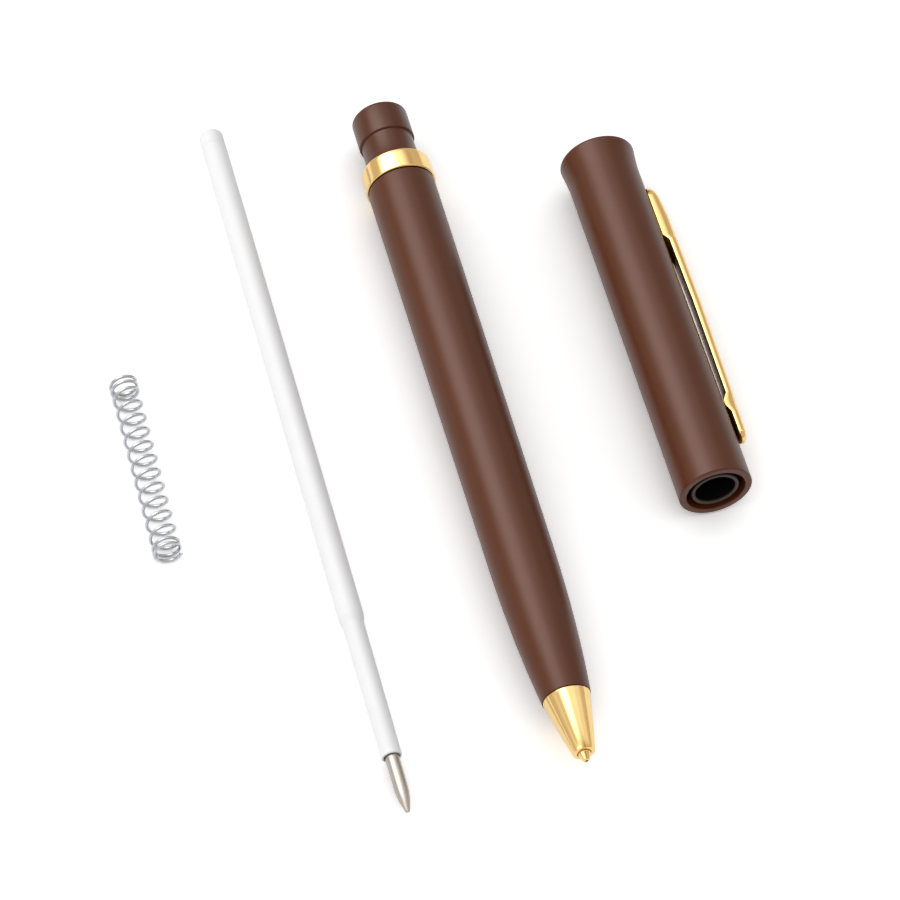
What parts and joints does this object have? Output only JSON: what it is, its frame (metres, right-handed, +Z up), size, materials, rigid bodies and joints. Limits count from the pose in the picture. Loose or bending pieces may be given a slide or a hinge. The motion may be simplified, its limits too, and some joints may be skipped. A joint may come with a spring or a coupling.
{
  "type": "ballpoint pen",
  "caption": "Slim twist-action ballpoint pen taken apart: lower barrel with gold nose and ring, clipped upper barrel with twist mechanism, refill and return spring laid side by side.",
  "frame": {"origin": "centre of the bounding box on the table under the pieces", "axes": "+Y along every piece from its writing end to its far end, +X from the spring towards the upper barrel, +Z up from the table"},
  "size_m": [0.0706, 0.099, 0.0093],
  "materials": {
    "brown_lacquer": "satin lacquer on brass tube",
    "brown_plastic": "moulded, half gloss",
    "polished_gold": "polished gold plate",
    "plain_brass": "turned",
    "dark_plastic": "moulded, matt",
    "white_plastic": "moulded, smooth",
    "black_rubber": "moulded",
    "hard_steel": "ground",
    "spring_wire": "bright drawn wire",
    "nickel_silver": "turned, bright",
    "blue_ink": "thick ink paste",
    "follower_grease": "clear grease"
  },
  "bodies": {
    "lower_barrel": {"lower_barrel": "brown_lacquer", "nose_cone": "polished_gold", "point_bush": "polished_gold", "centre_ring": "polished_gold", "connector": "brown_plastic"},
    "sleeve": {"sleeve": "dark_plastic"},
    "upper_barrel": {"upper_barrel": "brown_lacquer", "finial": "brown_lacquer", "clip_bush": "plain_brass", "guide_bush": "plain_brass", "cam_ring": "white_plastic", "friction_ring": "black_rubber"},
    "clip": {"clip": "polished_gold"},
    "plunger": {"plunger": "white_plastic", "follower_pin": "hard_steel"},
    "refill": {"refill_tube": "white_plastic", "refill_tip": "nickel_silver", "writing_ball": "hard_steel", "tail_plug": "white_plastic", "ink_column": "blue_ink", "ink_follower": "follower_grease"},
    "spring": {"spring": "spring_wire"}
  },
  "joints": [
    {"name": "upper_barrel_push_on", "type": "slide", "parent": "lower_barrel", "child": "sleeve", "axis": [0, -1, 0], "range_m": [0, 0.0084]},
    {"name": "twist", "type": "hinge", "parent": "sleeve", "child": "upper_barrel", "pos_m": [0.02922, 0, 0.00467], "axis": [0, -1, 0], "range_deg": [0, 120]},
    {"name": "plunger_travel", "type": "slide", "parent": "sleeve", "child": "plunger", "axis": [0, -1, 0], "range_m": [0, 0.006]},
    {"name": "clip_flex", "type": "hinge", "parent": "upper_barrel", "child": "clip", "pos_m": [0.0336, 0.024, 0.00467], "axis": [0, 0, 1], "range_deg": [0, 4], "stiffness_Nm_per_rad": 3},
    {"name": "refill_slide", "type": "slide", "parent": "lower_barrel", "child": "refill", "axis": [0, -1, 0], "range_m": [0, 0.006]},
    {"name": "spring_compress", "type": "slide", "parent": "lower_barrel", "child": "spring", "axis": [0, -1, 0], "range_m": [0, 0.006], "stiffness_N_per_m": 300, "deforming": ["spring"]}
  ],
  "couplings": [
    {"joint": "plunger_travel", "follows": "twist", "m_per_rad": 0.0028648}
  ]
}
